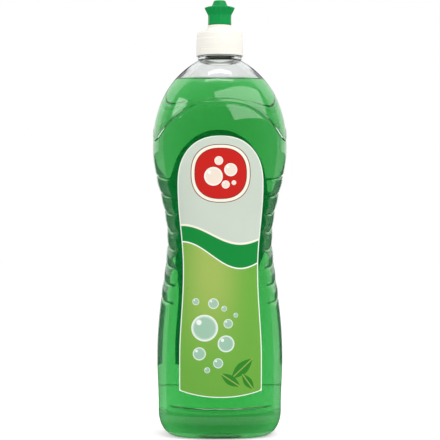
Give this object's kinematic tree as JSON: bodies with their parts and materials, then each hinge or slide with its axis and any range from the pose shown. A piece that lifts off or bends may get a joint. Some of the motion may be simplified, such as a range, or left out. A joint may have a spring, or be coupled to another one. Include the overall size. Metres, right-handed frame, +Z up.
{
  "type": "washing-up liquid bottle",
  "caption": "Clear waisted bottle of green washing-up liquid with ribbed grip flanks, front and back labels, a white screw cap and a fluted push-pull spout.",
  "frame": {"origin": "centre of the foot, on the plane that the bottle stands on", "axes": "+Z up along the neck, front label towards -Y, width along X"},
  "size_m": [0.088, 0.0728, 0.2853],
  "materials": {
    "clear_pet": "clear, glossy",
    "green_liquid": "clear liquid",
    "front_print": "printed film, glossy",
    "back_print": "printed film, glossy",
    "cap_white": "satin moulded",
    "seal_foam": "matt foam",
    "spout_green": "glossy moulded"
  },
  "bodies": {
    "bottle_body": {"bottle": "clear_pet", "liquid": "green_liquid", "front_label": "front_print", "back_label": "back_print"},
    "seal": {"sealing_ring": "seal_foam"},
    "cap": {"screw_cap": "cap_white"},
    "spout": {"push_pull_spout": "spout_green"}
  },
  "joints": [
    {"name": "cap_rise", "type": "slide", "parent": "bottle_body", "child": "seal", "axis": [0, 0, 1], "range_m": [0, 0.00636]},
    {"name": "cap_turn", "type": "hinge", "parent": "seal", "child": "cap", "pos_m": [0, 0, 0.26], "axis": [0, 0, 1], "range_deg": [0, 540]},
    {"name": "spout_pull", "type": "slide", "parent": "cap", "child": "spout", "axis": [0, 0, 1], "range_m": [0, 0.005]}
  ],
  "couplings": [
    {"joint": "cap_rise", "follows": "cap_turn", "m_per_rad": 0.000674}
  ]
}
